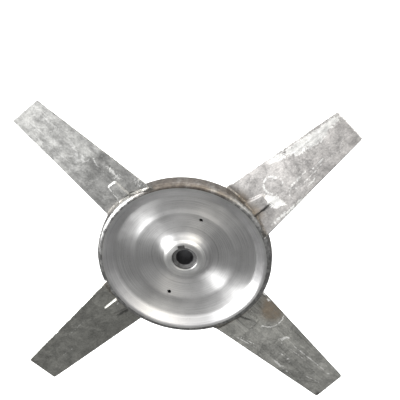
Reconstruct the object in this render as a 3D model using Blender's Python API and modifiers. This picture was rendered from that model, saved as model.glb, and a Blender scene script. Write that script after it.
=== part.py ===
"""Four-blade cast aluminium axial fan impeller, keyed hub, modelled in metres.

The shaft axis is the Y axis. The dished face with the key slot looks along -Y,
Z is up, and the origin is on the shaft axis, half way through the hub rim.
"""
import math

import bmesh
import bpy
from mathutils import Matrix, Vector

# overall sizes
HUB_RADIUS = 0.1237          # outside of the hub rim
HUB_DEPTH = 0.0240           # front edge of the rim to its back edge
GAP = 0.0003                 # left between pieces that touch

# hub rim and dished web; the rim is the same on both sides
FRONT = -HUB_DEPTH / 2
RIM_INNER = 0.1000           # where the rim ring meets the web
LAND_INNER = 0.1157          # inner edge of the narrow land on the rim
EDGE_REACH, EDGE_DROP = 0.0069, 0.0058   # rounding of the rim's outer corners, across and deep
WEB_THICKNESS = 0.0054
WEB_BACK_FLAT = 0.0043       # back of the web where it is flat
LOW_RING = 0.0420            # radius of the lowest ring of the front face
# front face from the boss out to the rim, (radius, y): low ring, crest ring, trough, rim
FRONT_FACE = (
    (0.0264, -0.0080), (0.0288, -0.0064), (0.0314, -0.0036), (0.0340, -0.0008), (0.0375, 0.0013),
    (LOW_RING, 0.0020), (0.0500, 0.0013), (0.0600, -0.0002), (0.0708, -0.0023),
    (0.0780, -0.0008), (0.0850, -0.0010), (0.0925, -0.0022), (0.1000, -0.0043),
    (0.1045, -0.0064), (0.1090, -0.0087), (0.1125, -0.0104), (0.1149, -0.0115),
)
HOLE_RADIUS = 0.0025         # the two puller holes, blind
HOLE_BOTTOM = 0.0030
HOLE_CIRCLE = 0.0652
HOLE_ANGLE = 70.0

# boss, bore and key slot
BOSS_FACE_RADIUS = 0.0245
BOSS_ROOT_RADIUS = 0.0340
BOSS_FRONT = -0.0085
BOSS_BACK = 0.0385           # the boss reaches back along the shaft
BOSS_SHOULDER = 0.0074       # where it leaves the back of the web
BORE_RADIUS = 0.0120
COUNTERBORE_RADIUS = 0.0183
COUNTERBORE_DEPTH = 0.0050
SLOT_WIDTH = 0.0100
SLOT_TOP = 0.0226
SLOT_ANGLE = 103.0

# one blade, in its own frame: X outwards, Z towards the next blade, Y to the back
BLADE_COUNT = 4
BLADE_FIRST_ANGLE = 45.0
TIP_X = 0.3080
ROOT_X = 0.1160
LEAD_ROOT = (-0.0480, -0.0104)    # tangential, axial place of the leading edge
LEAD_TIP = (-0.0253, -0.0018)
TRAIL_ROOT = (0.0385, 0.0104)
TRAIL_TIP = (0.0253, 0.0045)
ROOT_THICKNESS = 0.0058
TIP_THICKNESS = 0.0036
EDGE_THICKNESS = 0.0022
CAMBER = -0.014              # hollow of the front face, as a part of the width
STATIONS = 9

# ribs at the middle of each blade's root, front and back
RIB_LENGTH = 0.0280
RIB_ROOT_RADIUS = 0.0124
RIB_END_RADIUS = 0.0088
RIB_HEIGHT = 0.0060          # half the rib's height at the hub
RIB_RISE = 0.0006
RIB_SHIFT = 0.0015           # from the middle of the blade's root towards its trailing edge

ROUND_STEPS = 72


def clear_scene():
    for obj in list(bpy.data.objects):
        bpy.data.objects.remove(obj, do_unlink=True)


def make_collection(name):
    group = bpy.data.collections.new(name)
    bpy.context.scene.collection.children.link(group)
    return group


def principled(name, colour, roughness, metallic):
    mat = bpy.data.materials.new(name)
    mat.use_nodes = True
    shader = mat.node_tree.nodes["Principled BSDF"]
    shader.inputs["Base Color"].default_value = (*colour, 1.0)
    shader.inputs["Roughness"].default_value = roughness
    shader.inputs["Metallic"].default_value = metallic
    return mat


def new_object(name, mesh, group, mat):
    obj = bpy.data.objects.new(name, mesh)
    group.objects.link(obj)
    if mat is not None:
        mesh.materials.append(mat)
    return obj


def turned(name, profile, group, mat, steps=ROUND_STEPS):
    """Turn a closed (radius, y) profile about the Y axis with a Screw modifier."""
    mesh = bpy.data.meshes.new(name)
    bm = bmesh.new()
    verts = [bm.verts.new((r, y, 0.0)) for r, y in profile]
    for a, b in zip(verts, verts[1:] + verts[:1]):
        bm.edges.new((a, b))
    bm.to_mesh(mesh)
    bm.free()
    obj = new_object(name, mesh, group, mat)
    screw = obj.modifiers.new("turn", "SCREW")
    screw.axis = "Y"
    screw.steps = steps
    screw.render_steps = steps
    screw.use_merge_vertices = True
    screw.merge_threshold = 0.00001
    screw.use_normal_calculate = True
    return obj


def cutter_look(obj):
    obj.hide_render = True
    obj.display_type = "WIRE"
    return obj


def cut(obj, cutter, operation="DIFFERENCE"):
    mod = obj.modifiers.new(operation.lower(), "BOOLEAN")
    mod.operation = operation
    mod.solver = "EXACT"
    mod.object = cutter
    return mod


def smooth_shade(obj, angle=35.0):
    obj.data.shade_smooth()
    obj.data.set_sharp_from_angle(angle=math.radians(angle))


def face_y(radius):
    """Height of the front face at a radius."""
    for (ra, ya), (rb, yb) in zip(FRONT_FACE, FRONT_FACE[1:]):
        if ra <= radius <= rb:
            return ya + (yb - ya) * (radius - ra) / (rb - ra)
    return FRONT_FACE[-1][1]


def back_y(radius):
    """Height of the web's back: it follows the front, runs flat, then meets the rim's own dish."""
    follow = face_y(max(radius, LOW_RING)) + WEB_THICKNESS
    return max(follow, WEB_BACK_FLAT, -face_y(radius))


def face_between(inner, outer):
    """Front face from the outer radius in to the inner one, as (radius, y)."""
    radii = [r for r, _ in FRONT_FACE if inner < r < outer]
    return [(r, face_y(r)) for r in [outer] + radii[::-1] + [inner]]


def rim_profile():
    """Ring: outer wall, rounded corners, front land and the steep part of the dish."""
    half = []
    for i in range(7):
        a = math.radians(90.0 * i / 6)
        half.append((HUB_RADIUS - EDGE_REACH + EDGE_REACH * math.cos(a),
                     FRONT + EDGE_DROP - EDGE_DROP * math.sin(a)))
    half.append((LAND_INNER, FRONT))
    half += face_between(RIM_INNER, FRONT_FACE[-1][0])
    back = [(r, -y) for r, y in reversed(half)]
    return half + back


def web_profile():
    front = face_between(BOSS_ROOT_RADIUS + GAP, RIM_INNER - GAP)
    back = [(r, back_y(r)) for r, _ in reversed(front)]
    return front + back


def boss_profile():
    face = BOSS_FACE_RADIUS
    flank = [(r, y) for r, y in reversed(FRONT_FACE) if r <= BOSS_ROOT_RADIUS]
    return [(BOSS_ROOT_RADIUS, BOSS_SHOULDER)] + flank + [
        (face, BOSS_FRONT),
        (COUNTERBORE_RADIUS, BOSS_FRONT),
        (COUNTERBORE_RADIUS - 0.0009, BOSS_FRONT + COUNTERBORE_DEPTH),
        (BORE_RADIUS + 0.0006, BOSS_FRONT + COUNTERBORE_DEPTH),
        (BORE_RADIUS, BOSS_FRONT + COUNTERBORE_DEPTH + 0.0006),
        (BORE_RADIUS, BOSS_BACK - 0.0010),
        (BORE_RADIUS + 0.0010, BOSS_BACK),
        (face + 0.0030, BOSS_BACK),
        (face + 0.0050, BOSS_BACK - 0.0020),
        (BOSS_ROOT_RADIUS - 0.0020, BOSS_SHOULDER + 0.0030),
    ]


def section(station, grow_front, grow_back):
    """Closed outline of the blade across its length, as (z, y) points."""
    s = station
    lead = [a + (b - a) * s for a, b in zip(LEAD_ROOT, LEAD_TIP)]
    trail = [a + (b - a) * s for a, b in zip(TRAIL_ROOT, TRAIL_TIP)]
    mid = ROOT_THICKNESS + (TIP_THICKNESS - ROOT_THICKNESS) * s
    dz, dy = trail[0] - lead[0], trail[1] - lead[1]
    chord = math.hypot(dz, dy)
    along = (dz / chord, dy / chord)
    across = (along[1], -along[0])     # towards the front

    def point(c, h):
        return (lead[0] + along[0] * c + across[0] * h,
                lead[1] + along[1] * c + across[1] * h)

    front, back = [], []
    count = 8
    for i in range(count + 1):
        f = i / count
        bow = 4.0 * f * (1.0 - f)
        half = (EDGE_THICKNESS + (mid - EDGE_THICKNESS) * bow) / 2.0
        centre = CAMBER * chord * bow
        c = f * chord
        if i == 0:
            c = 0.0006
            half = EDGE_THICKNESS * 0.32
        if i == count:
            c = chord - 0.0006
            half = EDGE_THICKNESS * 0.32
        front.append(point(c, centre + half + grow_front))
        back.append(point(c, centre - half - grow_back))
    return front + back[::-1]


def blade_mesh(name, grow_front=0.0, grow_back=0.0, x_from=ROOT_X - 0.014, x_to=TIP_X):
    """Loft through the blade's sections from inside the hub rim out to the tip."""
    mesh = bpy.data.meshes.new(name)
    bm = bmesh.new()
    rings = []
    for i in range(STATIONS + 1):
        x = x_from + (x_to - x_from) * i / STATIONS
        s = (x - ROOT_X) / (TIP_X - ROOT_X)
        rings.append([bm.verts.new((x, y, z)) for z, y in section(s, grow_front, grow_back)])
    for a, b in zip(rings, rings[1:]):
        n = len(a)
        for i in range(n):
            j = (i + 1) % n
            bm.faces.new((a[i], a[j], b[j], b[i]))
    bm.faces.new(rings[0][::-1])
    bm.faces.new(rings[-1])
    bmesh.ops.recalc_face_normals(bm, faces=bm.faces)
    bm.to_mesh(mesh)
    bm.free()
    return mesh


def rib_mesh(name, side):
    """Blunt tapered rib lying on the blade, side -1 in front and +1 behind."""
    mesh = bpy.data.meshes.new(name)
    bm = bmesh.new()
    start, end = HUB_RADIUS - 0.012, HUB_RADIUS + RIB_LENGTH
    nose = RIB_END_RADIUS
    outline = [(start, 0.0), (start, RIB_ROOT_RADIUS)]
    for i in range(5):
        a = math.radians(90.0 * i / 4)
        outline.append((end - nose + nose * math.sin(a), nose * math.cos(a)))
    line = [bm.verts.new((x, 0.0, r)) for x, r in outline]
    for a, b in zip(line, line[1:]):
        bm.edges.new((a, b))
    bmesh.ops.spin(bm, geom=bm.verts[:] + bm.edges[:], cent=(0, 0, 0), axis=(1, 0, 0),
                   angle=math.radians(360.0), steps=20, use_merge=True)
    bmesh.ops.remove_doubles(bm, verts=bm.verts, dist=0.00001)
    bmesh.ops.recalc_face_normals(bm, faces=bm.faces)
    bmesh.ops.scale(bm, vec=(1.0, RIB_HEIGHT / RIB_ROOT_RADIUS, 1.0), verts=bm.verts)
    mid_y = (LEAD_ROOT[1] + TRAIL_ROOT[1]) / 2
    mid_z = (LEAD_ROOT[0] + TRAIL_ROOT[0]) / 2
    bmesh.ops.translate(bm, vec=Vector((0.0, mid_y + side * RIB_RISE, mid_z + RIB_SHIFT)),
                        verts=bm.verts)
    bm.to_mesh(mesh)
    bm.free()
    return mesh


def cylinder(name, radius, depth, group, segments=96):
    """Cylinder along Y, centred on the origin."""
    mesh = bpy.data.meshes.new(name)
    bm = bmesh.new()
    bmesh.ops.create_cone(bm, cap_ends=True, segments=segments,
                          radius1=radius, radius2=radius, depth=depth)
    bmesh.ops.rotate(bm, matrix=Matrix.Rotation(math.radians(90.0), 3, "X"), verts=bm.verts)
    bm.to_mesh(mesh)
    bm.free()
    return cutter_look(new_object(name, mesh, group, None))


def box(name, size, centre, group):
    mesh = bpy.data.meshes.new(name)
    bm = bmesh.new()
    bmesh.ops.create_cube(bm, size=1.0)
    bmesh.ops.scale(bm, vec=size, verts=bm.verts)
    bmesh.ops.translate(bm, vec=centre, verts=bm.verts)
    bm.to_mesh(mesh)
    bm.free()
    return cutter_look(new_object(name, mesh, group, None))


def around(degrees):
    """Rotation about Y that carries +X to an angle seen from the front."""
    return (0.0, -math.radians(degrees), 0.0)


def build_hub(parts, cutters, looks):
    rim = turned("hub_rim", rim_profile(), parts, looks["rim"])
    smooth_shade(rim)

    web = turned("hub_web", web_profile(), parts, looks["web"])
    for k in range(2):
        hole = cylinder("hole_cutter_%d" % (k + 1), HOLE_RADIUS, HUB_DEPTH, cutters, 12)
        a = math.radians(HOLE_ANGLE + 180.0 * k)
        hole.location = (HOLE_CIRCLE * math.cos(a), HOLE_BOTTOM - HUB_DEPTH / 2, HOLE_CIRCLE * math.sin(a))
        cut(web, hole)
    smooth_shade(web)

    boss = turned("hub_boss", boss_profile(), parts, looks["boss"], 48)
    slot = box("slot_cutter", (SLOT_TOP, COUNTERBORE_DEPTH + 0.01, SLOT_WIDTH),
               (SLOT_TOP / 2, BOSS_FRONT - 0.01 + (COUNTERBORE_DEPTH + 0.01) / 2, 0.0), cutters)
    slot.rotation_euler = around(SLOT_ANGLE)
    cut(boss, slot)
    smooth_shade(boss)


def build_blades(parts, cutters, looks):
    clear_hub = cylinder("hub_clearance", HUB_RADIUS + GAP, 0.12, cutters, ROUND_STEPS * 2)
    blade = blade_mesh("blade")
    ribs = {"front": rib_mesh("rib_front", -1), "back": rib_mesh("rib_back", 1)}
    spacers = {
        "front": blade_mesh("front_clearance", grow_front=GAP, grow_back=0.05),
        "back": blade_mesh("back_clearance", grow_front=0.05, grow_back=GAP),
    }
    for n in range(BLADE_COUNT):
        turn = around(BLADE_FIRST_ANGLE + 360.0 * n / BLADE_COUNT)
        obj = new_object("blade_%d" % (n + 1), blade.copy(), parts, looks["blade"])
        obj.rotation_euler = turn
        cut(obj, clear_hub)
        smooth_shade(obj)
        for side, mesh in ribs.items():
            spacer = new_object("%s_clearance_%d" % (side, n + 1), spacers[side], cutters, None)
            cutter_look(spacer).rotation_euler = turn
            rib = new_object("root_rib_%s_%d" % (side, n + 1), mesh.copy(), parts, looks["rib"])
            rib.rotation_euler = turn
            cut(rib, clear_hub)
            cut(rib, spacer)
            smooth_shade(rib)


def main():
    clear_scene()
    parts = make_collection("impeller")
    cutters = make_collection("cutters")
    looks = {
        "rim": principled("rim_aluminium", (0.56, 0.56, 0.54), 0.38, 1.0),
        "web": principled("machined_aluminium", (0.60, 0.60, 0.58), 0.30, 1.0),
        "boss": principled("boss_aluminium", (0.58, 0.58, 0.57), 0.34, 1.0),
        "blade": principled("cast_aluminium", (0.50, 0.50, 0.48), 0.50, 1.0),
        "rib": principled("rib_aluminium", (0.52, 0.52, 0.50), 0.50, 1.0),
    }
    build_hub(parts, cutters, looks)
    build_blades(parts, cutters, looks)


main()
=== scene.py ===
"""Looks for the cast aluminium four-blade impeller: turned hub, cast blades with root ribs."""

import math

import bmesh
import bpy
import numpy as np
from mathutils import Matrix, Vector


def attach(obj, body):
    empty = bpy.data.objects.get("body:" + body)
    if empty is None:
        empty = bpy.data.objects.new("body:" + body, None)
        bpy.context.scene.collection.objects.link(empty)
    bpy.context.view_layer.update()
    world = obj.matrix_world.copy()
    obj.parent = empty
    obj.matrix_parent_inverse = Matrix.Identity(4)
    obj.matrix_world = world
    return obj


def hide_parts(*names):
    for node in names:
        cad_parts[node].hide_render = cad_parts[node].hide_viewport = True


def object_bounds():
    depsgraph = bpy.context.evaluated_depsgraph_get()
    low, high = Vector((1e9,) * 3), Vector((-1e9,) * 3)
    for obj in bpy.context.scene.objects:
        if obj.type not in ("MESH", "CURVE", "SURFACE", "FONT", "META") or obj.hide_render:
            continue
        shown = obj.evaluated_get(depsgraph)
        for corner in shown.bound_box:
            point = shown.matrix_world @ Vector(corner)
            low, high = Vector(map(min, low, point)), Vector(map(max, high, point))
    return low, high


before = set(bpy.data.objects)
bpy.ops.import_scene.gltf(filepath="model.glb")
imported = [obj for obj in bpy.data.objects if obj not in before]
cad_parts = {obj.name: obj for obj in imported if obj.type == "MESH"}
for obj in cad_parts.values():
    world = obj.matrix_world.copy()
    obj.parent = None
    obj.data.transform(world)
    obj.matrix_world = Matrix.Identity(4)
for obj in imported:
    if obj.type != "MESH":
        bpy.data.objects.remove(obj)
cad_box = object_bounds()

# hub, in metres, as the frame has it
HUB_RADIUS = 0.1237
HUB_HALF_DEPTH = 0.0120
LAND_INNER, LAND_OUTER = 0.1157, 0.1168      # the narrow machined land on the rim
CORNER_DROP = 0.0058         # how far back the rounding of the rim's outer corner reaches
SLOPE_INNER = 0.1012         # where the web turns up into the rim
LOW_RING = 0.0420
WEB_BACK_FLAT = 0.0043
HOLE_RADIUS = 0.0025
HOLE_CIRCLE = 0.0652
HOLE_ANGLE = 70.0
HOLE_BOTTOM = 0.0030
SLOT_WIDTH = 0.0100
SLOT_TOP = 0.0226
SLOT_ANGLE = 103.0
BOSS_FRONT = -0.0085
BOSS_BACK = 0.0385
COUNTERBORE_RADIUS = 0.0183
COUNTERBORE_FLOOR = -0.0035
BORE_RADIUS = 0.0120
TURN_STEPS = 300

# blade, in its own place: X outwards, Z towards the next blade, Y to the back
BLADE_ANGLES = (45.0, 135.0, 225.0, 315.0)
TIP_X = 0.3080
ROOT_X = 0.1160
LEAD_ROOT, LEAD_TIP = (-0.0480, -0.0104), (-0.0253, -0.0018)
TRAIL_ROOT, TRAIL_TIP = (0.0385, 0.0104), (0.0253, 0.0045)
ROOT_THICKNESS, TIP_THICKNESS, EDGE_THICKNESS = 0.0058, 0.0036, 0.0022
HOLLOW = -0.014
ROOT_FILLET = 0.0022
TIP_CORNER = 0.0030
RIB_END_X = 0.1517
RIB_ROOT_HALF, RIB_END_HALF = 0.0120, 0.0086      # half widths
RIB_ROOT_PROUD, RIB_END_PROUD = 0.0034, 0.0022
RIB_FLANK, RIB_CORNER = 0.0024, 0.0050
RIB_ROOT_MIDDLE, RIB_END_MIDDLE = -0.0055, -0.0080

HUB_ZONES = ("dish", "slope", "land", "wall", "boss", "recess", "bore")


# Meshes

def arc_corner(points):
    """Round each (r, y, radius) corner of an open path; a radius of zero keeps the point."""
    out = []
    for i, (r, y, fillet) in enumerate(points):
        if fillet == 0.0 or i in (0, len(points) - 1):
            out.append((r, y))
            continue
        here = Vector((r, y))
        before = (Vector(points[i - 1][:2]) - here)
        after = (Vector(points[i + 1][:2]) - here)
        reach = min(fillet, before.length * 0.45, after.length * 0.45)
        a, b = here + before.normalized() * reach, here + after.normalized() * reach
        steps = 6
        for k in range(steps + 1):
            t = k / steps
            p = a * (1 - t) ** 2 + here * 2 * t * (1 - t) + b * t * t
            out.append((p.x, p.y))
    return out


def smooth_run(points, per_span):
    """Catmull-Rom run through (r, y) points."""
    p = [Vector(q) for q in points]
    p = [p[0] * 2 - p[1]] + p + [p[-1] * 2 - p[-2]]
    out = []
    for i in range(1, len(p) - 2):
        for k in range(per_span):
            t = k / per_span
            q = 0.5 * ((2 * p[i]) + (p[i + 1] - p[i - 1]) * t
                       + (2 * p[i - 1] - 5 * p[i] + 4 * p[i + 1] - p[i + 2]) * t * t
                       + (3 * p[i] - p[i - 1] - 3 * p[i + 1] + p[i + 2]) * t ** 3)
            out.append((q.x, q.y))
    out.append((p[-2].x, p[-2].y))
    return out


# front face of the web from the boss to the rim: (radius, y)
WEB_FACE = [
    (0.0264, -0.0080), (0.0288, -0.0064), (0.0314, -0.0036), (0.0340, -0.0008), (0.0375, 0.0013),
    (0.0420, 0.0020), (0.0500, 0.0013), (0.0600, -0.0002), (0.0685, -0.0018), (0.0708, -0.0021),
    (0.0728, -0.0021), (0.0762, -0.0016), (0.0800, -0.0012), (0.0850, -0.0011), (0.0900, -0.0014),
    (0.0950, -0.0020), (0.0990, -0.0027), (0.1015, -0.0038), (0.1045, -0.0058),
    (0.1090, -0.0088), (0.1118, -0.0107), (0.1135, -0.0115), (0.1149, -0.0118),
]
WEB_THICKNESS = 0.0054


def hub_outline():
    """Closed (r, y) outline of the turned hub, from the bore along the front and round to the back."""
    boss = arc_corner([
        (BORE_RADIUS, 0.0180, 0.0),
        (BORE_RADIUS, COUNTERBORE_FLOOR, 0.0007),
        (COUNTERBORE_RADIUS - 0.0009, COUNTERBORE_FLOOR, 0.0005),
        (COUNTERBORE_RADIUS - 0.0005, BOSS_FRONT + 0.0022, 0.0),
        (COUNTERBORE_RADIUS - 0.0001, BOSS_FRONT, 0.0009),
        (0.0243, BOSS_FRONT, 0.0016),
        (0.0264, -0.0080, 0.0),
    ])
    face = smooth_run(WEB_FACE, 5)
    rounding = [(HUB_RADIUS - (HUB_RADIUS - LAND_OUTER) * (1.0 - math.sin(math.radians(a))),
                 CORNER_DROP * (1.0 - math.cos(math.radians(a))) - HUB_HALF_DEPTH) for a in range(0, 91, 9)]
    corner = [(LAND_INNER, -HUB_HALF_DEPTH + 0.0001), (LAND_INNER + 0.0003, -HUB_HALF_DEPTH)]
    corner += rounding + [(HUB_RADIUS, 0.0)]
    front = boss + face[1:] + corner
    rim_back = [(r, -y) for r, y in reversed(corner[:-1])]
    dish_back = []
    for r, y in reversed(face[::2]):
        follow = y + WEB_THICKNESS
        if r > 0.0380:
            dish_back.append((r, max(follow if r > LOW_RING else 0.0074, WEB_BACK_FLAT, -y)))
    boss_back = arc_corner([
        (0.0378, 0.0074, 0.0), (0.0335, 0.0082, 0.0020), (0.0306, 0.0240, 0.0),
        (0.0295, BOSS_BACK - 0.0020, 0.0012), (0.0275, BOSS_BACK, 0.0012),
        (BORE_RADIUS + 0.0010, BOSS_BACK, 0.0004), (BORE_RADIUS, BOSS_BACK - 0.0010, 0.0004),
        (BORE_RADIUS, 0.0300, 0.0),
    ])
    return front + rim_back + dish_back + boss_back


def new_mesh_object(name, mesh):
    obj = bpy.data.objects.new(name, mesh)
    bpy.context.scene.collection.objects.link(obj)
    return obj


def outline_mesh(name, outline):
    mesh = bpy.data.meshes.new(name)
    n = len(outline)
    mesh.from_pydata([(r, y, 0.0) for r, y in outline], [(i, (i + 1) % n) for i in range(n)], [])
    return mesh


def smooth_noise(points, scale, seed):
    """Soft value noise from a few summed sine waves, about -1 to 1."""
    rng = np.random.default_rng(seed)
    total = np.zeros(len(points))
    for _ in range(7):
        direction = rng.normal(size=3)
        direction *= scale * rng.uniform(0.6, 1.5) / np.linalg.norm(direction)
        total += np.sin(points @ direction + rng.uniform(0, 2 * math.pi))
    return total / 3.5


def rib_pad(x, z):
    """How far the root rib stands proud of the blade: a flat-topped pad with rounded flanks."""
    out = np.clip((x - HUB_RADIUS) / (RIB_END_X - HUB_RADIUS), 0.0, 1.0)
    half = RIB_ROOT_HALF + (RIB_END_HALF - RIB_ROOT_HALF) * out
    middle = RIB_ROOT_MIDDLE + (RIB_END_MIDDLE - RIB_ROOT_MIDDLE) * out
    aside = np.clip(RIB_CORNER - (half - np.abs(z - middle)), 0.0, None)
    beyond = np.clip(RIB_CORNER - (RIB_END_X - x) * 2.0, 0.0, None)
    inside = np.clip((RIB_CORNER - np.hypot(aside, beyond)) / RIB_FLANK, 0.0, 1.0)
    proud = RIB_ROOT_PROUD + (RIB_END_PROUD - RIB_ROOT_PROUD) * out
    return proud * np.sqrt(1.0 - (1.0 - inside) ** 2)


def cast_blade_mesh(name, seed):
    """One blade lofted from the hub wall to its tip, with rounded edges, root fillet and both ribs."""
    along_steps = np.concatenate([np.linspace(0.0, 0.24, 74)[:-1], np.linspace(0.24, 0.985, 110)])
    across_count = 112
    f = 0.5 - 0.5 * np.cos(np.linspace(0.0, math.pi, across_count)) * 0.35 - 0.5 * 0.35 * 0
    f = np.linspace(0.0, 1.0, across_count) * 0.65 + (0.5 - 0.5 * np.cos(np.linspace(0, math.pi, across_count))) * 0.35
    rings = []
    tip_round = EDGE_THICKNESS * 0.5
    shrink = [(u, 1.0) for u in along_steps]
    for k in range(1, 6):
        a = math.radians(90.0 * k / 5)
        shrink.append((1.0 + math.sin(a), max(math.cos(a), 0.02)))   # rounded tip rows
    for u, squeeze in shrink:
        row_front, row_back = [], []
        if u <= 1.0:
            share = u / 0.985
        else:
            share = 1.0
        x = np.full(across_count, 0.0)
        z = LEAD_ROOT[0] + (TRAIL_ROOT[0] - LEAD_ROOT[0]) * f
        for _ in range(4):
            x_wall = np.sqrt((HUB_RADIUS - 0.0065) ** 2 - np.minimum(z, 0.06) ** 2)
            x = x_wall + (TIP_X - tip_round - x_wall) * share
            if u > 1.0:
                x = x + tip_round * (u - 1.0)
            s = (x - ROOT_X) / (TIP_X - ROOT_X)
            lead = [LEAD_ROOT[k] + (LEAD_TIP[k] - LEAD_ROOT[k]) * s for k in (0, 1)]
            trail = [TRAIL_ROOT[k] + (TRAIL_TIP[k] - TRAIL_ROOT[k]) * s for k in (0, 1)]
            wall = np.sqrt(x ** 2 + z ** 2) - HUB_RADIUS
            near = np.clip(ROOT_FILLET - wall, 0.0, ROOT_FILLET)
            flare = ROOT_FILLET - np.sqrt(np.maximum(ROOT_FILLET ** 2 - near ** 2, 0.0))
            corner = np.clip(x - (TIP_X - TIP_CORNER), 0.0, TIP_CORNER)
            inset = TIP_CORNER - np.sqrt(TIP_CORNER ** 2 - corner ** 2)
            dz, dy = trail[0] - lead[0], trail[1] - lead[1]
            chord = np.sqrt(dz ** 2 + dy ** 2)
            az, ay = dz / chord, dy / chord
            c = inset - flare * 0.6 + (chord - 2 * inset + 1.2 * flare) * f
            z = lead[0] + az * c
        y = lead[1] + ay * c
        across = (ay, -az)
        fr = np.clip(c / chord, 0.0, 1.0)
        bow = 4 * fr * (1 - fr)
        mid = ROOT_THICKNESS + (TIP_THICKNESS - ROOT_THICKNESS) * s
        half = (EDGE_THICKNESS + (mid - EDGE_THICKNESS) * bow) / 2
        centre = HOLLOW * chord * bow
        end = np.minimum(c - c[0], c[-1] - c)
        edge_r = EDGE_THICKNESS * 0.5
        rounding = np.sqrt(np.clip(1.0 - (1.0 - np.clip(end / edge_r, 0.0, 1.0)) ** 2, 0.0, 1.0))
        for side, row in ((-1, row_front), (1, row_back)):
            own = -side * centre + half
            height = (own + rib_pad(x, z) + flare) * rounding * squeeze + (-side * centre) * (1 - rounding * squeeze)
            zz = z + across[0] * -side * height
            yy = y + across[1] * -side * height
            limit = HUB_HALF_DEPTH - 0.0003
            yy = np.where(wall < 0.006, np.clip(yy, -limit, limit), yy)
            yy = np.clip(yy, -limit, limit + 0.004)
            row.extend(zip(x, yy, zz))
        rings.append(row_front + row_back[::-1])
    verts = np.array(rings)
    rows, around_count = verts.shape[:2]
    verts = verts.reshape(-1, 3)
    faces = []
    for i in range(rows - 1):
        for j in range(around_count):
            k = (j + 1) % around_count
            faces.append((i * around_count + j, i * around_count + k,
                          (i + 1) * around_count + k, (i + 1) * around_count + j))
    last = (rows - 1) * around_count
    n = across_count
    for j in range(n - 1):                                # close the root end and the tip
        faces.append((j, j + 1, around_count - 2 - j, around_count - 1 - j)[::-1])
        faces.append((last + j, last + j + 1, last + around_count - 2 - j, last + around_count - 1 - j))
    mesh = bpy.data.meshes.new(name)
    mesh.from_pydata([tuple(v) for v in verts], [], faces)
    bm = bmesh.new()
    bm.from_mesh(mesh)
    bmesh.ops.remove_doubles(bm, verts=bm.verts, dist=0.00002)
    bmesh.ops.recalc_face_normals(bm, faces=bm.faces)
    bm.to_mesh(mesh)
    bm.free()
    co = np.zeros(len(mesh.vertices) * 3)
    mesh.vertices.foreach_get("co", co)
    co = co.reshape(-1, 3)
    place = mesh.attributes.new("blade_place", "FLOAT_VECTOR", "POINT")
    place.data.foreach_set("vector", co.astype(np.float32).ravel())
    return mesh


# Geometry node trees

def tree_link(tree, a, b):
    tree.links.new(a, b)


def turning_tree(material):
    """Turns the object's own outline about the Y axis into a closed ring."""
    tree = bpy.data.node_groups.new("turned_ring", "GeometryNodeTree")
    face = tree.interface
    face.new_socket("Geometry", in_out="INPUT", socket_type="NodeSocketGeometry")
    steps = face.new_socket("Steps", in_out="INPUT", socket_type="NodeSocketInt")
    points = face.new_socket("Outline Points", in_out="INPUT", socket_type="NodeSocketInt")
    face.new_socket("Geometry", in_out="OUTPUT", socket_type="NodeSocketGeometry")
    n, link = tree.nodes, tree.links.new
    group_in, group_out = n.new("NodeGroupInput"), n.new("NodeGroupOutput")

    def maths(op, a, b=None, kind="ShaderNodeMath"):
        node = n.new(kind)
        node.operation = op
        for socket, value in zip(node.inputs, (a, b)):
            if value is None:
                continue
            if hasattr(value, "is_linked"):
                link(value, socket)
            else:
                socket.default_value = value
        return node.outputs[0]

    grid = n.new("GeometryNodeMeshGrid")
    rows = maths("ADD", group_in.outputs["Outline Points"], 1.0)
    columns = maths("ADD", group_in.outputs["Steps"], 1.0)
    link(rows, grid.inputs["Vertices X"])
    link(columns, grid.inputs["Vertices Y"])
    index = n.new("GeometryNodeInputIndex").outputs[0]
    row = maths("FLOOR", maths("DIVIDE", maths("ADD", index, 0.5), columns))
    column = maths("SUBTRACT", index, maths("MULTIPLY", row, columns))
    wrapped = maths("MODULO", row, group_in.outputs["Outline Points"])
    turn = maths("MULTIPLY", maths("DIVIDE", maths("MODULO", column, group_in.outputs["Steps"]),
                                   group_in.outputs["Steps"]), 2 * math.pi)
    sample = n.new("GeometryNodeSampleIndex")
    sample.data_type = "FLOAT_VECTOR"
    link(group_in.outputs["Geometry"], sample.inputs["Geometry"])
    link(n.new("GeometryNodeInputPosition").outputs[0], sample.inputs["Value"])
    link(wrapped, sample.inputs["Index"])
    spin = n.new("ShaderNodeVectorRotate")
    spin.rotation_type = "Y_AXIS"
    link(sample.outputs[0], spin.inputs["Vector"])
    link(turn, spin.inputs["Angle"])
    move = n.new("GeometryNodeSetPosition")
    link(grid.outputs["Mesh"], move.inputs["Geometry"])
    link(spin.outputs[0], move.inputs["Position"])
    weld = n.new("GeometryNodeMergeByDistance")
    weld.inputs["Distance"].default_value = 0.000002
    link(move.outputs[0], weld.inputs["Geometry"])
    smooth = n.new("GeometryNodeSetShadeSmooth")
    link(weld.outputs[0], smooth.inputs["Geometry"])
    real = n.new("GeometryNodeRealizeInstances")
    link(smooth.outputs[0], real.inputs[0])
    finish = n.new("GeometryNodeSetMaterial")
    finish.inputs["Material"].default_value = material
    link(real.outputs[0], finish.inputs["Geometry"])
    link(finish.outputs[0], group_out.inputs[0])
    return tree, {"steps": steps.identifier, "points": points.identifier}


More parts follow.
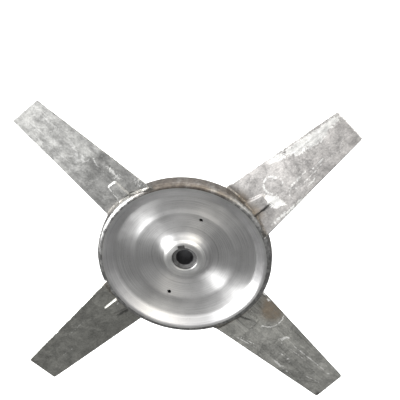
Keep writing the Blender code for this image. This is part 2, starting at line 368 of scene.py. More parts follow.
def blade_setting_tree():
    """Roughens a blade as cast and turns it about the shaft to its own place."""
    tree = bpy.data.node_groups.new("blade_setting", "GeometryNodeTree")
    face = tree.interface
    face.new_socket("Geometry", in_out="INPUT", socket_type="NodeSocketGeometry")
    sockets = {}
    for key, label, kind in (("angle", "Blade Angle", "NodeSocketFloat"),
                             ("wave", "Casting Wave", "NodeSocketFloat"),
                             ("wave_size", "Wave Size", "NodeSocketFloat"),
                             ("seed", "Seed", "NodeSocketFloat"),
                             ("finish", "Finish", "NodeSocketMaterial")):
        sockets[key] = face.new_socket(label, in_out="INPUT", socket_type=kind).identifier
    face.new_socket("Geometry", in_out="OUTPUT", socket_type="NodeSocketGeometry")
    n, link = tree.nodes, tree.links.new
    group_in, group_out = n.new("NodeGroupInput"), n.new("NodeGroupOutput")
    noise = n.new("ShaderNodeTexNoise")
    noise.noise_dimensions = "4D"
    noise.inputs["Detail"].default_value = 1.5
    link(group_in.outputs["Seed"], noise.inputs["W"])
    link(group_in.outputs["Wave Size"], noise.inputs["Scale"])
    centred = n.new("ShaderNodeMath")
    centred.operation = "SUBTRACT"
    centred.inputs[1].default_value = 0.5
    link(noise.outputs["Fac"], centred.inputs[0])
    amount = n.new("ShaderNodeMath")
    amount.operation = "MULTIPLY"
    link(centred.outputs[0], amount.inputs[0])
    link(group_in.outputs["Casting Wave"], amount.inputs[1])
    shift = n.new("ShaderNodeVectorMath")
    shift.operation = "SCALE"
    link(n.new("GeometryNodeInputNormal").outputs[0], shift.inputs[0])
    link(amount.outputs[0], shift.inputs["Scale"])
    move = n.new("GeometryNodeSetPosition")
    link(group_in.outputs["Geometry"], move.inputs["Geometry"])
    link(shift.outputs[0], move.inputs["Offset"])
    turn = n.new("ShaderNodeMath")
    turn.operation = "MULTIPLY"
    turn.inputs[1].default_value = -1.0
    link(group_in.outputs["Blade Angle"], turn.inputs[0])
    vector = n.new("ShaderNodeCombineXYZ")
    link(turn.outputs[0], vector.inputs["Y"])
    place = n.new("GeometryNodeTransform")
    link(move.outputs[0], place.inputs["Geometry"])
    link(vector.outputs[0], place.inputs["Rotation"])
    smooth = n.new("GeometryNodeSetShadeSmooth")
    link(place.outputs[0], smooth.inputs["Geometry"])
    real = n.new("GeometryNodeRealizeInstances")
    link(smooth.outputs[0], real.inputs[0])
    finish = n.new("GeometryNodeSetMaterial")
    link(real.outputs[0], finish.inputs["Geometry"])
    link(group_in.outputs["Finish"], finish.inputs["Material"])
    link(finish.outputs[0], group_out.inputs[0])
    return tree, sockets


def settle(obj):
    """Replace the object's mesh with what its modifiers make, and remove them."""
    bpy.context.view_layer.update()
    graph = bpy.context.evaluated_depsgraph_get()
    made = bpy.data.meshes.new_from_object(obj.evaluated_get(graph))
    obj.modifiers.clear()
    old = obj.data
    obj.data = made
    made.name = obj.name
    bpy.data.meshes.remove(old)
    return obj


def check_outward(obj):
    bm = bmesh.new()
    bm.from_mesh(obj.data)
    bm.normal_update()
    if bm.calc_volume(signed=True) < 0.0:
        bmesh.ops.reverse_faces(bm, faces=bm.faces)
    bm.to_mesh(obj.data)
    bm.free()


# Materials

class Finish:
    """A node material with short calls for the nodes that its recipes repeat."""

    def __init__(self, name, metallic=1.0, anisotropic=0.0):
        self.mat = bpy.data.materials.new(name)
        self.mat.use_nodes = True
        self.tree = self.mat.node_tree
        self.n, self.link = self.tree.nodes, self.tree.links.new
        self.shader = self.n["Principled BSDF"]
        self.shader.inputs["Metallic"].default_value = metallic
        self.shader.inputs["Anisotropic"].default_value = anisotropic
        self.place = self.n.new("ShaderNodeTexCoord").outputs["Object"]

    def put(self, socket, value):
        if hasattr(value, "is_linked"):
            self.link(value, socket)
        else:
            socket.default_value = value

    def maths(self, op, a, b=0.0, c=None, clamp=False):
        node = self.n.new("ShaderNodeMath")
        node.operation = op
        node.use_clamp = clamp
        self.put(node.inputs[0], a)
        self.put(node.inputs[1], b)
        if c is not None:
            self.put(node.inputs[2], c)
        return node.outputs[0]

    def noise(self, scale, detail=3.0, rough=0.55, vector=None, stretch=None, w=0.0, distortion=0.0):
        node = self.n.new("ShaderNodeTexNoise")
        node.noise_dimensions = "4D"
        node.inputs["W"].default_value = w
        node.inputs["Scale"].default_value = scale
        node.inputs["Detail"].default_value = detail
        node.inputs["Roughness"].default_value = rough
        node.inputs["Distortion"].default_value = distortion
        vector = self.place if vector is None else vector
        if stretch is not None:
            mapping = self.n.new("ShaderNodeMapping")
            mapping.inputs["Scale"].default_value = stretch
            self.link(vector, mapping.inputs["Vector"])
            vector = mapping.outputs[0]
        self.link(vector, node.inputs["Vector"])
        return node.outputs["Fac"]

    def span(self, value, lo, hi, out_lo=0.0, out_hi=1.0, smooth=True):
        node = self.n.new("ShaderNodeMapRange")
        node.interpolation_type = "SMOOTHSTEP" if smooth else "LINEAR"
        for key, v in (("Value", value), ("From Min", lo), ("From Max", hi),
                       ("To Min", out_lo), ("To Max", out_hi)):
            self.put(node.inputs[key], v)
        return node.outputs[0]

    def mix(self, factor, a, b):
        node = self.n.new("ShaderNodeMix")
        node.data_type = "RGBA"
        self.put(node.inputs["Factor"], factor)
        for socket, v in ((node.inputs[6], a), (node.inputs[7], b)):
            self.put(socket, (*v, 1.0) if isinstance(v, tuple) else v)
        return node.outputs[2]

    def tint(self, factor, colour):
        """The colour times a factor."""
        node = self.n.new("ShaderNodeVectorMath")
        node.operation = "SCALE"
        self.put(node.inputs[0], colour)
        self.put(node.inputs["Scale"], factor)
        return node.outputs[0]

    def bump(self, height, strength, distance, normal=None):
        node = self.n.new("ShaderNodeBump")
        node.inputs["Strength"].default_value = strength
        node.inputs["Distance"].default_value = distance
        self.link(height, node.inputs["Height"])
        if normal is not None:
            self.link(normal, node.inputs["Normal"])
        return node.outputs[0]

    def attribute(self, name, output="Fac"):
        node = self.n.new("ShaderNodeAttribute")
        node.attribute_name = name
        return node.outputs[output]

    def finish(self, colour, roughness, normal=None):
        self.put(self.shader.inputs["Base Color"], colour)
        self.put(self.shader.inputs["Roughness"], roughness)
        if normal is not None:
            self.link(normal, self.shader.inputs["Normal"])
        return self.mat

    def ring_place(self):
        """Radius from the shaft, and the outward direction, of a point on a turned face."""
        split = self.n.new("ShaderNodeSeparateXYZ")
        self.link(self.place, split.inputs[0])
        radius = self.maths("SQRT", self.maths("ADD", self.maths("MULTIPLY", split.outputs[0], split.outputs[0]),
                                               self.maths("MULTIPLY", split.outputs[2], split.outputs[2])))
        flat = self.n.new("ShaderNodeVectorMath")
        flat.operation = "MULTIPLY"
        flat.inputs[1].default_value = (1.0, 0.0, 1.0)
        self.link(self.place, flat.inputs[0])
        out = self.n.new("ShaderNodeVectorMath")
        out.operation = "NORMALIZE"
        self.link(flat.outputs[0], out.inputs[0])
        return radius, out.outputs[0], split.outputs

    def rings(self, radius, scale, detail=2.0, w=0.0):
        """Noise that changes only with the radius: the tool's marks."""
        node = self.n.new("ShaderNodeTexNoise")
        node.noise_dimensions = "1D"
        node.inputs["Detail"].default_value = detail
        node.inputs["Scale"].default_value = 1.0
        self.link(self.maths("ADD", self.maths("MULTIPLY", radius, scale), w), node.inputs["W"])
        return node.outputs["Fac"]


def turned_finish(name, tone, roughness, ring_depth, anisotropic):
    f = Finish(name, anisotropic=anisotropic)
    radius, outward, _ = f.ring_place()
    f.link(outward, f.shader.inputs["Tangent"])
    fine = f.rings(radius, 1100.0)
    middle = f.rings(radius, 430.0, w=13.0)
    broad = f.rings(radius, 120.0, w=31.0)
    cloud = f.noise(26.0, detail=4.0, w=2.0)
    speck = f.noise(420.0, detail=2.0, w=5.0)
    patchy = f.span(f.noise(17.0, w=9.0), 0.42, 0.62)
    light = f.maths("ADD", f.span(fine, 0.3, 0.7, -0.06, 0.06), f.span(broad, 0.3, 0.7, -0.03, 0.03))
    light = f.maths("ADD", light, f.maths("MULTIPLY", patchy, f.span(middle, 0.3, 0.7, -0.09, 0.09)))
    light = f.maths("ADD", light, f.span(cloud, 0.35, 0.7, -0.06, 0.05))
    light = f.maths("ADD", light, f.span(speck, 0.30, 0.42, -0.10, 0.0))
    light = f.maths("ADD", light, 1.0)
    colour = f.tint(light, tone)
    rough = f.maths("ADD", f.span(cloud, 0.3, 0.7, -0.05, 0.06), f.span(fine, 0.3, 0.7, -0.03, 0.03))
    rough = f.maths("ADD", rough, roughness)
    normal = f.bump(fine, 0.6, ring_depth)
    normal = f.bump(f.maths("MULTIPLY", patchy, middle), 0.6, ring_depth * 3.0, normal)
    normal = f.bump(speck, 0.15, 0.0002, normal)
    return f.finish(colour, rough, normal)


def shade_paint_finish(name, tone, roughness):
    """Dark metal with a fine grain: painted shade in the counterbore and the bore."""
    f = Finish(name)
    cloud = f.noise(160.0, detail=3.0, w=17.0)
    grain = f.noise(1500.0, detail=2.0, w=18.0)
    colour = f.tint(f.span(cloud, 0.3, 0.7, 0.75, 1.25), tone)
    rough = f.span(cloud, 0.3, 0.7, roughness - 0.08, roughness + 0.08)
    return f.finish(colour, rough, f.bump(grain, 0.4, 0.0002))


def wall_finish():
    """As-cast outer wall of the rim: bare mottled metal at the front corner, brown and darker further back and all
    along the upper side.
    """
    f = Finish("cast_wall")
    split = f.n.new("ShaderNodeSeparateXYZ")
    f.link(f.place, split.inputs[0])
    cloud = f.noise(45.0, detail=4.0, w=7.0)
    mottle = f.noise(210.0, detail=4.0, rough=0.65, w=9.0)
    grain = f.noise(900.0, detail=3.0, w=8.0)
    deep = f.span(split.outputs[1], -0.0105, -0.0045)
    upper = f.span(split.outputs[2], 0.085, 0.115)
    brown_share = f.maths("MAXIMUM", f.maths("MULTIPLY", deep, 0.75), upper)
    brown_share = f.maths("MULTIPLY", brown_share, f.span(cloud, 0.25, 0.55, 0.45, 1.0))
    bare = f.tint(f.span(mottle, 0.35, 0.65, 0.55, 1.15), (0.36, 0.36, 0.355))
    brown = f.tint(f.span(mottle, 0.3, 0.7, 0.65, 1.2), (0.165, 0.145, 0.126))
    colour = f.mix(brown_share, bare, brown)
    rough = f.span(mottle, 0.3, 0.7, 0.30, 0.42)
    normal = f.bump(mottle, 0.3, 0.0003)
    normal = f.bump(grain, 0.4, 0.0003, normal)
    return f.finish(colour, rough, normal)


def cast_finish(name, tone, contrast, streak, fleck, root_tone, root_from, root_to, seed):
    """Cast blade: mottled skin, flecks and pits, long scrapes, brown stains, torn bright marks that are partly wear
    and partly painted highlights, and dark marks of painted shade; the tone per blade is painted light and shade.
    """
    f = Finish(name)
    place = f.attribute("blade_place", "Vector")
    mottle = f.noise(75.0, detail=6.0, rough=0.68, vector=place, w=seed, distortion=0.6)
    patch = f.noise(15.0, detail=3.0, vector=place, w=seed + 3.0)
    grain = f.noise(430.0, detail=3.0, rough=0.65, vector=place, w=seed + 5.0)
    lines = f.noise(1.0, detail=5.0, rough=0.65, vector=place, stretch=(11.0, 40.0, 330.0), w=seed + 7.0)
    torn = f.noise(170.0, detail=4.0, rough=0.7, vector=place, w=seed + 9.0, distortion=1.5)
    value = f.maths("ADD", f.span(mottle, 0.3, 0.7, -contrast, contrast), f.span(patch, 0.35, 0.65, -contrast, contrast))
    value = f.maths("ADD", value, f.span(grain, 0.36, 0.64, -0.17, 0.17, smooth=False))
    value = f.maths("ADD", value, f.span(lines, 0.40, 0.48, -streak * 0.5, 0.0))
    value = f.maths("ADD", value, f.span(lines, 0.56, 0.66, 0.0, streak))
    value = f.maths("ADD", value, f.span(torn, 0.36, 0.30, 0.0, -0.30))
    value = f.maths("ADD", value, f.span(torn, 0.60, 0.68, 0.0, fleck))
    split = f.n.new("ShaderNodeSeparateXYZ")
    f.link(place, split.inputs[0])
    uneven = f.maths("ADD", split.outputs[0], f.span(patch, 0.35, 0.65, -0.012, 0.012))
    toward_tip = f.span(uneven, root_from, root_to)
    value = f.maths("MULTIPLY", f.maths("ADD", value, 1.0), f.span(toward_tip, 0.0, 1.0, root_tone, 1.0))
    # the blade's own tone carries painted light and shade, one tone per blade
    base = f.tint(value, tone)
    ragged = f.span(torn, 0.36, 0.64, -0.45, 0.45, smooth=False)
    wear_and_highlight = f.span(f.maths("ADD", f.attribute("wear_and_highlight"), ragged), 0.42, 0.66)
    stained = f.maths("MULTIPLY", f.attribute("stained"), f.span(mottle, 0.3, 0.6, 0.55, 1.0))
    painted_shade = f.span(f.maths("ADD", f.attribute("painted_shade"), f.maths("MULTIPLY", ragged, 0.6)), 0.30, 0.75)
    base = f.mix(f.maths("MULTIPLY", stained, 0.85), base, (0.25, 0.205, 0.155))
    # near-black: painted shade, mostly the rib shadows, the root corner and the dark edge bands
    base = f.mix(f.maths("MULTIPLY", painted_shade, 0.85), base, (0.10, 0.10, 0.095))
    # near-white: the bright marks, partly wear and partly painted highlights and glints
    base = f.mix(f.maths("MULTIPLY", wear_and_highlight, 0.9), base, (0.95, 0.95, 0.93))
    rough = f.maths("ADD", f.span(mottle, 0.3, 0.7, 0.44, 0.60), f.maths("MULTIPLY", wear_and_highlight, -0.06))
    rough = f.maths("ADD", rough, f.span(lines, 0.4, 0.7, 0.04, -0.06))
    normal = f.bump(mottle, 0.45, 0.0014)
    normal = f.bump(lines, 0.35, 0.0005, normal)
    normal = f.bump(grain, 0.35, 0.0004, normal)
    return f.finish(base, rough, normal)


# Pieces

def hub_cutters():
    made = []
    for k in range(2):
        a = math.radians(HOLE_ANGLE + 180.0 * k)
        bm = bmesh.new()
        bmesh.ops.create_cone(bm, cap_ends=True, segments=40, radius1=HOLE_RADIUS, radius2=HOLE_RADIUS, depth=0.016)
        bmesh.ops.rotate(bm, matrix=Matrix.Rotation(math.radians(90.0), 3, "X"), verts=bm.verts)
        bmesh.ops.translate(bm, vec=(HOLE_CIRCLE * math.cos(a), HOLE_BOTTOM - 0.008, HOLE_CIRCLE * math.sin(a)),
                            verts=bm.verts)
        mesh = bpy.data.meshes.new("hole_tool")
        bm.to_mesh(mesh)
        bm.free()
        made.append(new_mesh_object("hole_tool", mesh))
    bm = bmesh.new()
    bmesh.ops.create_cube(bm, size=1.0)
    depth = COUNTERBORE_FLOOR - BOSS_FRONT
    bmesh.ops.scale(bm, vec=(SLOT_TOP, depth + 0.01, SLOT_WIDTH), verts=bm.verts)
    bmesh.ops.translate(bm, vec=(SLOT_TOP / 2, BOSS_FRONT - 0.01 + (depth + 0.01) / 2, 0.0), verts=bm.verts)
    bmesh.ops.rotate(bm, matrix=Matrix.Rotation(-math.radians(SLOT_ANGLE), 3, "Y"), verts=bm.verts)
    mesh = bpy.data.meshes.new("slot_tool")
    bm.to_mesh(mesh)
    bm.free()
    made.append(new_mesh_object("slot_tool", mesh))
    return made


def make_hub():
    looks = {
        "dish": turned_finish("turned_dish", (0.58, 0.578, 0.575), 0.43, 0.00003, 0.8),
        "slope": turned_finish("turned_slope", (0.58, 0.578, 0.58), 0.38, 0.00003, 0.35),
        "land": turned_finish("turned_land", (0.58, 0.58, 0.57), 0.34, 0.00002, 0.3),
        "wall": wall_finish(),
        "boss": turned_finish("turned_boss", (0.66, 0.66, 0.65), 0.42, 0.00003, 0.6),
        "recess": shade_paint_finish("recess_shade_paint", (0.20, 0.20, 0.20), 0.55),
        "bore": shade_paint_finish("bore_shade_paint", (0.035, 0.035, 0.038), 0.60),
    }
    outline = hub_outline()
    obj = new_mesh_object("hub_casting", outline_mesh("hub_outline", outline))
    tree, sockets = turning_tree(looks["dish"])
    turn = obj.modifiers.new("turning", "NODES")
    turn.node_group = tree
    turn[sockets["steps"]] = TURN_STEPS
    turn[sockets["points"]] = len(outline)
    settle(obj)
    check_outward(obj)
    tools = hub_cutters()
    for tool in tools:
        cut = obj.modifiers.new("cut", "BOOLEAN")
        cut.operation = "DIFFERENCE"
        cut.solver = "EXACT"
        cut.object = tool
    settle(obj)
    for tool in tools:
        bpy.data.objects.remove(tool, do_unlink=True)
    mesh = obj.data
    mesh.materials.clear()
    for zone in HUB_ZONES:
        mesh.materials.append(looks[zone])
    hole_x = HOLE_CIRCLE * math.cos(math.radians(HOLE_ANGLE))
    hole_z = HOLE_CIRCLE * math.sin(math.radians(HOLE_ANGLE))
    for poly in mesh.polygons:
        c = poly.center
        r = math.hypot(c.x, c.z)
        in_hole = any(math.hypot(c.x - sign * hole_x, c.z - sign * hole_z) < HOLE_RADIUS + 0.0001
                      for sign in (1, -1)) and c.y < HOLE_BOTTOM + 0.0002
        # near-black in the bore and the two small holes, dark grey in the counterbore: painted shade in the hollows
        if in_hole or r < BORE_RADIUS + 0.0005 and COUNTERBORE_FLOOR < c.y < BOSS_BACK - 0.0012:
            zone = "bore"
        elif r < SLOT_TOP + 0.0006 and BOSS_FRONT + 0.0016 < c.y < COUNTERBORE_FLOOR + 0.0008:
            zone = "recess"
        elif r > LAND_OUTER + 0.0001:
            zone = "wall"
        elif r > LAND_INNER - 0.0010:
            zone = "land"
        elif r > SLOPE_INNER:
            zone = "slope"
        elif r < 0.0300:
            zone = "boss"
        else:
            zone = "dish"
        poly.material_index = HUB_ZONES.index(zone)
        poly.use_smooth = True
    mesh.set_sharp_from_angle(angle=math.radians(32.0))
    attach(obj, "root")
    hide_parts("hub_rim", "hub_web", "hub_boss")
    return obj


# marks on the front of each blade: (kind, outwards, towards next blade, half length, half width, turn, strength);
# bright marks are partly wear and scratches and partly painted highlights, dark marks are painted shade such as the
# rib shadows, stained marks are brown stain
BLADE_MARKS = {
    1: [
        ("wear_and_highlight", 0.2925, 0.0185, 0.018, 0.0060, 0, 0.75), ("wear_and_highlight", 0.2667, 0.0180, 0.020, 0.0075, -3, 0.80),
        ("wear_and_highlight", 0.2407, 0.0200, 0.020, 0.0080, -5, 0.80), ("wear_and_highlight", 0.2156, 0.0235, 0.018, 0.0070, -8, 0.75),
        ("wear_and_highlight", 0.1964, 0.0275, 0.014, 0.0042, -10, 0.70), ("wear_and_highlight", 0.2620, 0.0095, 0.016, 0.0035, -5, 0.50),
        ("wear_and_highlight", 0.2360, 0.0115, 0.014, 0.0035, -8, 0.50), ("wear_and_highlight", 0.2375, -0.0137, 0.018, 0.0016, 6, 0.60),
        ("wear_and_highlight", 0.2140, -0.0280, 0.016, 0.0016, 10, 0.65), ("wear_and_highlight", 0.2018, -0.0134, 0.020, 0.0020, 5, 0.60),
        ("wear_and_highlight", 0.2220, -0.0200, 0.020, 0.0012, 8, 0.65),
        ("wear_and_highlight", 0.1560, -0.0130, 0.012, 0.0055, -60, 0.85), ("wear_and_highlight", 0.1600, -0.0230, 0.010, 0.0045, -40, 0.80),
        ("wear_and_highlight", 0.1450, -0.0390, 0.020, 0.0026, 3, 0.70), ("wear_and_highlight", 0.1720, -0.0385, 0.018, 0.0020, 6, 0.65),
        ("stained", 0.1239, 0.0120, 0.008, 0.0140, 0, 0.7), ("stained", 0.1270, -0.0120, 0.008, 0.0120, 0, 0.8),
        ("painted_shade", 0.1360, -0.0165, 0.011, 0.0026, -8, 0.9),
    ],
    2: [
        ("wear_and_highlight", 0.2976, -0.0170, 0.012, 0.0040, 0, 0.70), ("wear_and_highlight", 0.2815, 0.0080, 0.015, 0.0014, 1, 0.95),
        ("wear_and_highlight", 0.2710, -0.0150, 0.016, 0.0040, 5, 0.55), ("wear_and_highlight", 0.2290, -0.0111, 0.012, 0.0040, -15, 0.65),
        ("wear_and_highlight", 0.2125, -0.0010, 0.011, 0.0028, -50, 0.95), ("wear_and_highlight", 0.2050, -0.0068, 0.008, 0.0026, -60, 0.95),
        ("wear_and_highlight", 0.1885, -0.0160, 0.010, 0.0022, -20, 0.70), ("wear_and_highlight", 0.1698, -0.0247, 0.010, 0.0030, -10, 0.62),
        ("wear_and_highlight", 0.1558, -0.0240, 0.010, 0.0055, 0, 0.55), ("wear_and_highlight", 0.1300, -0.0400, 0.014, 0.0075, 0, 0.58),
        ("wear_and_highlight", 0.2420, 0.0165, 0.034, 0.0009, 6.5, 0.95), ("wear_and_highlight", 0.1360, 0.0020, 0.019, 0.0010, -11, 0.80),
        ("painted_shade", 0.1240, -0.0160, 0.0025, 0.0100, 0, 0.9),
    ],
    3: [
        ("wear_and_highlight", 0.1290, -0.0090, 0.0035, 0.0022, 0, 0.80), ("painted_shade", 0.1385, 0.0100, 0.014, 0.0030, -10, 0.85),
        ("wear_and_highlight", 0.2100, -0.0180, 0.030, 0.0009, 4, 0.50), ("wear_and_highlight", 0.2500, 0.0050, 0.026, 0.0009, -3, 0.45),
    ],
    4: [
        ("stained", 0.1525, 0.0249, 0.015, 0.0105, 20, 1.0), ("stained", 0.1400, 0.0310, 0.011, 0.0060, 0, 0.7),
        ("wear_and_highlight", 0.1240, 0.0370, 0.004, 0.0030, 0, 0.85), ("wear_and_highlight", 0.1370, 0.0340, 0.004, 0.0026, 0, 0.80),
        ("wear_and_highlight", 0.2470, 0.0115, 0.050, 0.0010, 3.5, 0.75), ("wear_and_highlight", 0.2320, 0.0040, 0.024, 0.0009, 5, 0.65),
        ("wear_and_highlight", 0.1985, 0.0084, 0.006, 0.0024, 60, 0.65), ("wear_and_highlight", 0.1600, -0.0345, 0.019, 0.0010, 13, 0.85),
        ("wear_and_highlight", 0.1650, -0.0300, 0.016, 0.0008, 13, 0.65), ("wear_and_highlight", 0.2194, -0.0263, 0.008, 0.0014, 0, 0.70),
        ("wear_and_highlight", 0.2215, -0.0116, 0.011, 0.0022, 3, 0.60), ("wear_and_highlight", 0.2310, -0.0258, 0.014, 0.0022, 2, 0.55),
        ("wear_and_highlight", 0.2740, -0.0110, 0.022, 0.0009, 15, 0.60), ("painted_shade", 0.1315, -0.0070, 0.012, 0.0018, 22, 0.95),
        ("painted_shade", 0.3060, -0.0210, 0.006, 0.0050, 0, 0.7),
    ],
}
# curled marks: (kind, outwards, towards next blade, radius, half width, from angle, to angle, strength); bright curls
# are partly wear and partly painted highlights
BLADE_CURLS = {
    1: [("wear_and_highlight", 0.1700, 0.0020, 0.0120, 0.0018, 20, 230, 0.75), ("wear_and_highlight", 0.1790, 0.0010, 0.0070, 0.0012, -60, 150, 0.60),
        ("wear_and_highlight", 0.1560, -0.0180, 0.0075, 0.0026, 0, 360, 0.65), ("wear_and_highlight", 0.1870, -0.0260, 0.0080, 0.0010, 30, 200, 0.60)],
    2: [("wear_and_highlight", 0.2080, -0.0100, 0.0095, 0.0013, 60, 210, 0.60)],
    3: [],
    4: [("wear_and_highlight", 0.1540, 0.0210, 0.0215, 0.0013, -80, 35, 0.80), ("wear_and_highlight", 0.2060, 0.0070, 0.0070, 0.0011, 90, 270, 0.70),
        ("stained", 0.1560, 0.0240, 0.0090, 0.0060, 0, 360, 0.60)],
}
# how the leading and the trailing edge of each blade look: the bright kind gives a band that is partly wear and partly
# painted highlight, the dark kind a band of painted shade
BLADE_EDGES = {1: ("wear_and_highlight", "wear_and_highlight"), 2: ("painted_shade", "wear_and_highlight"), 3: ("wear_and_highlight", "painted_shade"), 4: ("painted_shade", "painted_shade")}
EDGE_BAND = 0.0011
# colour, mottling, streaks, flecks, then how dark the root is and where that starts and ends; the colour is painted
# light and shade, darker on the two lower blades and lighter on the two upper ones
BLADE_SHADED_TONES = {
    1: ((0.51, 0.495, 0.485), 0.13, 0.16, 0.45, 0.62, 0.125, 0.165),
    2: ((0.60, 0.60, 0.585), 0.12, 0.10, 0.30, 0.66, 0.180, 0.206),
    3: ((0.28, 0.28, 0.26), 0.10, 0.14, 0.16, 1.10, 0.130, 0.190),
    4: ((0.36, 0.36, 0.34), 0.15, 0.45, 0.32, 0.92, 0.125, 0.170),
}


def mark_blade(mesh, marks, curls, edges):
    """Write how bright (wear and painted highlight), brown-stained and dark (painted shade) each point of a blade is.
    """
    co = np.zeros(len(mesh.vertices) * 3)
    mesh.attributes["blade_place"].data.foreach_get("vector", co)
    co = co.reshape(-1, 3)
    x, z = co[:, 0], co[:, 2]
    sums = {"wear_and_highlight": np.zeros(len(co)), "stained": np.zeros(len(co)), "painted_shade": np.zeros(len(co))}
    normals = np.zeros(len(mesh.vertices) * 3)
    mesh.vertices.foreach_get("normal", normals)
    front = np.clip(-normals.reshape(-1, 3)[:, 1] * 3.0, 0.0, 1.0)
    for kind, mark_x, mark_z, length, width, turn, strength in marks:
        a = math.radians(turn)
        dx, dz = x - mark_x, z - mark_z
        along = (dx * math.cos(a) + dz * math.sin(a)) / length
        aside = (-dx * math.sin(a) + dz * math.cos(a)) / width
        sums[kind] += strength * np.exp(-np.minimum(along ** 2 + aside ** 2, 30.0) ** 1.3) * front
    for kind, mark_x, mark_z, radius, width, start, stop, strength in curls:
        dx, dz = x - mark_x, z - mark_z
        turned = (np.degrees(np.arctan2(dz, dx)) - start) % 360.0
        within = np.clip(np.minimum(turned, stop - start - turned) / 12.0 + 0.5, 0.0, 1.0)
        aside = (np.hypot(dx, dz) - radius) / width
        sums[kind] += strength * np.exp(-np.minimum(aside ** 2, 30.0)) * within * front
    # painted shade in the corner where the blade meets the hub, with brown stain over it
    near_hub = np.exp(-(np.clip(np.hypot(x, z) - HUB_RADIUS, 0.0, None) / ROOT_FILLET) ** 2)
    sums["painted_shade"] += 0.65 * near_hub
    sums["stained"] += 0.60 * near_hub
    out = (x - ROOT_X) / (TIP_X - ROOT_X)
    lead = z - (LEAD_ROOT[0] + (LEAD_TIP[0] - LEAD_ROOT[0]) * out)
    trail = TRAIL_ROOT[0] + (TRAIL_TIP[0] - TRAIL_ROOT[0]) * out - z
    for kind, distance in ((edges[0], lead), (edges[1], trail), (edges[1], TIP_X - x)):
        sums[kind] += 0.75 * np.exp(-(distance / EDGE_BAND) ** 2)
    for kind, total in sums.items():
        layer = mesh.attributes.new(kind, "FLOAT", "POINT")
        layer.data.foreach_set("value", np.clip(total, 0.0, 1.0).astype(np.float32))


def make_blades():
    tree, sockets = blade_setting_tree()
    for number, angle in enumerate(BLADE_ANGLES, start=1):
        look = cast_finish("cast_blade_%d" % number, *BLADE_SHADED_TONES[number], 11.0 * number)
        obj = new_mesh_object("blade_casting_%d" % number, cast_blade_mesh("blade_%d_cast" % number, number))
        obj.data.materials.append(look)
        mark_blade(obj.data, BLADE_MARKS[number], BLADE_CURLS[number], BLADE_EDGES[number])
        setting = obj.modifiers.new("setting", "NODES")
        setting.node_group = tree
        setting[sockets["angle"]] = math.radians(angle)
        setting[sockets["wave"]] = 0.0006
        setting[sockets["wave_size"]] = 30.0
        setting[sockets["seed"]] = 3.7 * number
        setting[sockets["finish"]] = look
        settle(obj)
        check_outward(obj)
        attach(obj, "root")
        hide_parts("blade_%d" % number, "root_rib_front_%d" % number, "root_rib_back_%d" % number)


# Stage, light and camera

def make_stage():
    """Pale floor that turns up into a wall all round; metal doesn't mirror it."""
    low = cad_box[0][2] - 0.0002
    run = [(0.0, 0.0), (4.0, 0.0)]
    for k in range(1, 13):
        a = math.radians(90.0 * k / 12)
        run.append((4.0 + 1.5 * math.sin(a), 1.5 - 1.5 * math.cos(a)))
    run.append((5.5, 6.0))
    bm = bmesh.new()
    line = [bm.verts.new((r, 0.0, low + z)) for r, z in run]
    for a, b in zip(line, line[1:]):
        bm.edges.new((a, b))
    bmesh.ops.spin(bm, geom=bm.verts[:] + bm.edges[:], cent=(0, 0, 0), axis=(0, 0, 1),
                   angle=2 * math.pi, steps=64, use_merge=True)
    bmesh.ops.remove_doubles(bm, verts=bm.verts, dist=0.0001)
    bmesh.ops.recalc_face_normals(bm, faces=bm.faces)
    mesh = bpy.data.meshes.new("floor")
    bm.to_mesh(mesh)
    bm.free()
    floor = new_mesh_object("floor", mesh)
    mat = bpy.data.materials.new("pale_floor")
    mat.use_nodes = True
    shader = mat.node_tree.nodes["Principled BSDF"]
    shader.inputs["Base Color"].default_value = (0.80, 0.80, 0.80, 1.0)
    shader.inputs["Roughness"].default_value = 0.9
    shader.inputs["Specular IOR Level"].default_value = 0.0
    shader.inputs["Emission Color"].default_value = (1.0, 1.0, 1.0, 1.0)
    shader.inputs["Emission Strength"].default_value = 0.55
    mesh.materials.append(mat)
    mesh.shade_smooth()
    floor.visible_glossy = False
    floor.visible_shadow = False


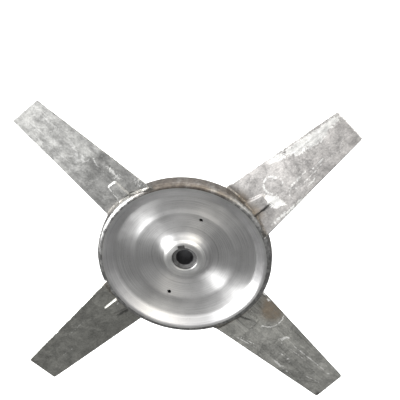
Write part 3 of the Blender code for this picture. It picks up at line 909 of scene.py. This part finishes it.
def area_light(name, place, target, size, power, colour=(1.0, 1.0, 1.0)):
    data = bpy.data.lights.new(name, "AREA")
    data.shape = "RECTANGLE"
    data.size, data.size_y = size
    data.energy = power
    data.color = colour
    obj = bpy.data.objects.new(name, data)
    obj.location = place
    obj.rotation_euler = (Vector(target) - Vector(place)).to_track_quat("-Z", "Y").to_euler()
    bpy.context.scene.collection.objects.link(obj)


def studio_surround(tree):
    """Soft surround that the metal mirrors: pale overhead, dim low down."""
    n, link = tree.nodes, tree.links.new
    sky = n["Background"]
    way = n.new("ShaderNodeTexCoord").outputs["Generated"]
    split = n.new("ShaderNodeSeparateXYZ")
    link(way, split.inputs[0])
    height = n.new("ShaderNodeMapRange")
    height.interpolation_type = "SMOOTHSTEP"
    link(split.outputs[2], height.inputs["Value"])
    for key, value in (("From Min", SURROUND[0]), ("From Max", SURROUND[1]),
                       ("To Min", SURROUND[2]), ("To Max", SURROUND[3])):
        height.inputs[key].default_value = value
    link(height.outputs[0], sky.inputs["Strength"])
    sky.inputs["Color"].default_value = (1.0, 1.0, 1.0, 1.0)


SURROUND = (-0.5, 0.75, 0.28, 1.25)      # low and high direction, dim and pale strength


def make_light():
    world = bpy.data.worlds.new("studio")
    bpy.context.scene.world = world
    world.use_nodes = True
    studio_surround(world.node_tree)
    area_light("key_left", (-2.61, -1.50, 0.35), (0, 0, 0), (1.5, 1.3), 150.0)
    area_light("second_upper_right", (1.38, -2.0, 1.75), (0, 0, 0), (2.4, 1.8), 26.0, (1.0, 0.94, 0.82))
    area_light("overhead_front", (0.1, -1.5, 2.1), (0, 0, 0), (2.4, 1.6), 10.0, (1.0, 0.96, 0.88))
    area_light("top_soft", (0.0, 0.8, 2.4), (0, 0, 0), (2.5, 2.5), 25.0)


def make_camera():
    data = bpy.data.cameras.new("camera")
    data.sensor_width = 36.0
    data.lens = 108.0
    obj = bpy.data.objects.new("camera", data)
    obj.location = (0.13319, -1.43000, 0.91806)
    obj.rotation_euler = [math.radians(v) for v in (60.0854, -0.5693, 4.8301)]
    bpy.context.scene.collection.objects.link(obj)
    bpy.context.scene.camera = obj
    bpy.context.scene.view_settings.view_transform = "Standard"


make_camera()
make_light()
make_stage()
make_hub()
make_blades()
